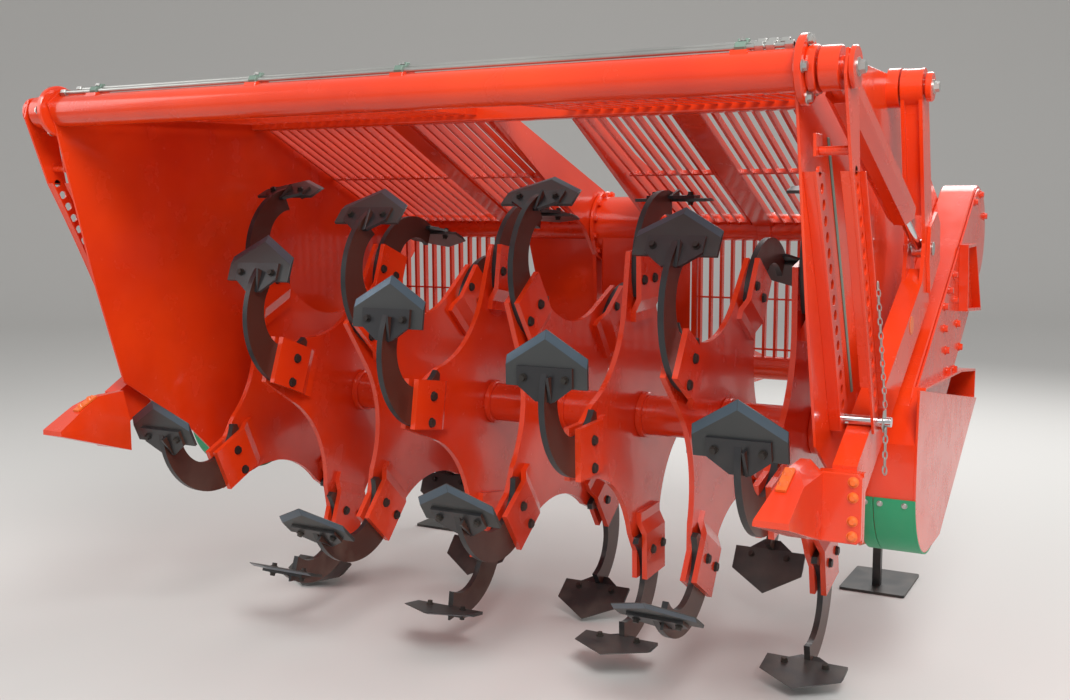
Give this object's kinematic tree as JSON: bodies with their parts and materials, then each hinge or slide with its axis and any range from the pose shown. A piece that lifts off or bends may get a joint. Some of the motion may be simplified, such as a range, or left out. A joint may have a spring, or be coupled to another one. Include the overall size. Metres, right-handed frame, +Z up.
{
  "type": "spading machine",
  "caption": "Tractor-mounted deep spading machine: open bar frame over a rotor of hooked spades, side drive cases, swinging roller arms with cylinders, parked on front stands.",
  "frame": {"origin": "on the floor under the middle of the machine's box", "axes": "+X to the machine's right, +Y in the direction of travel (hitch side), +Z up"},
  "size_m": [3.116, 2.653, 2.162],
  "materials": {
    "frame_red": "gloss",
    "tine_dark": "satin",
    "blade_steel": "satin",
    "bare_steel": "satin",
    "chrome_rod": "polished",
    "foot_black": "satin",
    "gearbox_dark": "satin"
  },
  "bodies": {
    "frame": {"top_tube": "frame_red", "front_cross_tube": "frame_red", "lower_cross_tube": "frame_red", "under_beam": "frame_red", "headstock": "frame_red", "hitch_plates_left": "frame_red", "hitch_plates_right": "frame_red", "gearbox": "gearbox_dark", "pto_stub": "bare_steel", "top_grille_left": "frame_red", "upper_grille_left": "frame_red", "lower_grille_left": "frame_red", "side_panel_left": "frame_red", "guide_plate_left": "frame_red", "drive_case_left": "frame_red", "case_guard_left": "frame_red", "arm_pivot_pin_left": "frame_red", "depth_pin_left": "chrome_rod", "top_grille_right": "frame_red", "upper_grille_right": "frame_red", "lower_grille_right": "frame_red", "side_panel_right": "frame_red", "guide_plate_right": "frame_red", "drive_case_right": "frame_red", "case_guard_right": "frame_red", "arm_pivot_pin_right": "frame_red", "depth_pin_right": "chrome_rod"},
    "rotor": {"rotor_shaft": "frame_red", "spade_carriers": "frame_red", "spade_tines": "tine_dark", "spade_blades": "blade_steel"},
    "arm_left": {"roller_arm_left": "frame_red", "arm_bracket_left": "frame_red", "elbow_pin_left": "bare_steel"},
    "barrel_left": {"cylinder_barrel_left": "frame_red"},
    "rod_left": {"cylinder_rod_left": "chrome_rod"},
    "stand_left": {"stand_left": "foot_black"},
    "arm_right": {"roller_arm_right": "frame_red", "arm_bracket_right": "frame_red", "elbow_pin_right": "bare_steel"},
    "barrel_right": {"cylinder_barrel_right": "frame_red"},
    "rod_right": {"cylinder_rod_right": "chrome_rod"},
    "stand_right": {"stand_right": "foot_black"}
  },
  "joints": [
    {"name": "rotor_spin", "type": "hinge", "parent": "frame", "child": "rotor", "pos_m": [0, -0.1235, 0.919], "axis": [1, 0, 0], "continuous": true},
    {"name": "arm_left_pivot", "type": "hinge", "parent": "frame", "child": "arm_left", "pos_m": [-1.458, -0.1565, 2.097], "axis": [1, 0, 0], "range_deg": [0, 6]},
    {"name": "barrel_left_pivot", "type": "hinge", "parent": "frame", "child": "barrel_left", "pos_m": [-1.458, -1.1935, 2.064], "axis": [1, 0, 0], "range_deg": [0, 1.8]},
    {"name": "rod_left_slide", "type": "slide", "parent": "barrel_left", "child": "rod_left", "axis": [0, 0.9228, -0.3854], "range_m": [0, 0.046]},
    {"name": "stand_left_slide", "type": "slide", "parent": "frame", "child": "stand_left", "axis": [0, 0, 1], "range_m": [0, 0.35]},
    {"name": "arm_right_pivot", "type": "hinge", "parent": "frame", "child": "arm_right", "pos_m": [1.458, -0.1565, 2.097], "axis": [1, 0, 0], "range_deg": [0, 6]},
    {"name": "barrel_right_pivot", "type": "hinge", "parent": "frame", "child": "barrel_right", "pos_m": [1.458, -1.1935, 2.064], "axis": [1, 0, 0], "range_deg": [0, 1.8]},
    {"name": "rod_right_slide", "type": "slide", "parent": "barrel_right", "child": "rod_right", "axis": [0, 0.9228, -0.3854], "range_m": [0, 0.046]},
    {"name": "stand_right_slide", "type": "slide", "parent": "frame", "child": "stand_right", "axis": [0, 0, 1], "range_m": [0, 0.35]}
  ],
  "couplings": [
    {"joint": "barrel_left_pivot", "follows": "arm_left_pivot", "ratio": 0.2814},
    {"joint": "rod_left_slide", "follows": "arm_left_pivot", "m_per_rad": 0.4187},
    {"joint": "barrel_right_pivot", "follows": "arm_right_pivot", "ratio": 0.2814},
    {"joint": "rod_right_slide", "follows": "arm_right_pivot", "m_per_rad": 0.4187}
  ]
}
